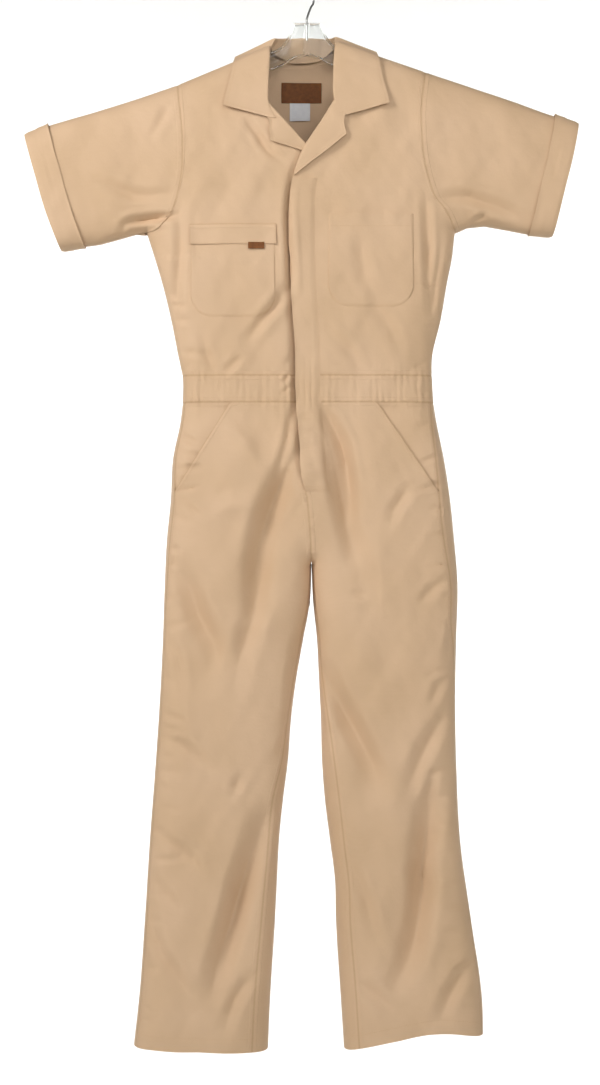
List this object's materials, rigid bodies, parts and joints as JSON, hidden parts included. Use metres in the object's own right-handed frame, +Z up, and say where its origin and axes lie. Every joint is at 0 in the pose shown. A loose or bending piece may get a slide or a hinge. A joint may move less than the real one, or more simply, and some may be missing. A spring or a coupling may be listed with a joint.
{
  "type": "boiler suit and hanger",
  "caption": "Short-sleeved work boiler suit in tan cloth with an open collar, chest and hip pockets, hung on a clear plastic hanger with a wire hook.",
  "frame": {"origin": "inside top of the hanger's hook, where a rail carries it", "axes": "+Z up, -Y the way the wearer faces, +X towards the wearer's left"},
  "size_m": [0.8985, 0.1119, 1.7344],
  "materials": {
    "poplin": "tan cotton and polyester poplin, matt with a slight sheen",
    "brown_label": "dark brown bonded leather, smooth",
    "white_tape": "white woven satin tape",
    "clear_plastic": "clear moulded polystyrene",
    "steel_wire": "zinc-plated steel wire"
  },
  "bodies": {
    "root": {"front_right": "poplin", "front_left": "poplin", "back": "poplin", "collar": "poplin", "lapel_right": "poplin", "lapel_left": "poplin", "placket": "poplin", "sleeve_right": "poplin", "sleeve_left": "poplin", "cuff_right": "poplin", "cuff_left": "poplin", "waistband_front_right": "poplin", "waistband_front_left": "poplin", "waistband_back": "poplin", "chest_pocket_right": "poplin", "pocket_flap": "poplin", "chest_pocket_left": "poplin", "leg_front_right": "poplin", "leg_front_left": "poplin", "leg_back_right": "poplin", "leg_back_left": "poplin", "fly": "poplin", "pocket_facing_right": "poplin", "pocket_facing_left": "poplin", "pocket_tab": "brown_label", "neck_label": "brown_label", "care_label": "white_tape", "hanger": "clear_plastic", "hook": "steel_wire"}
  },
  "joints": []
}
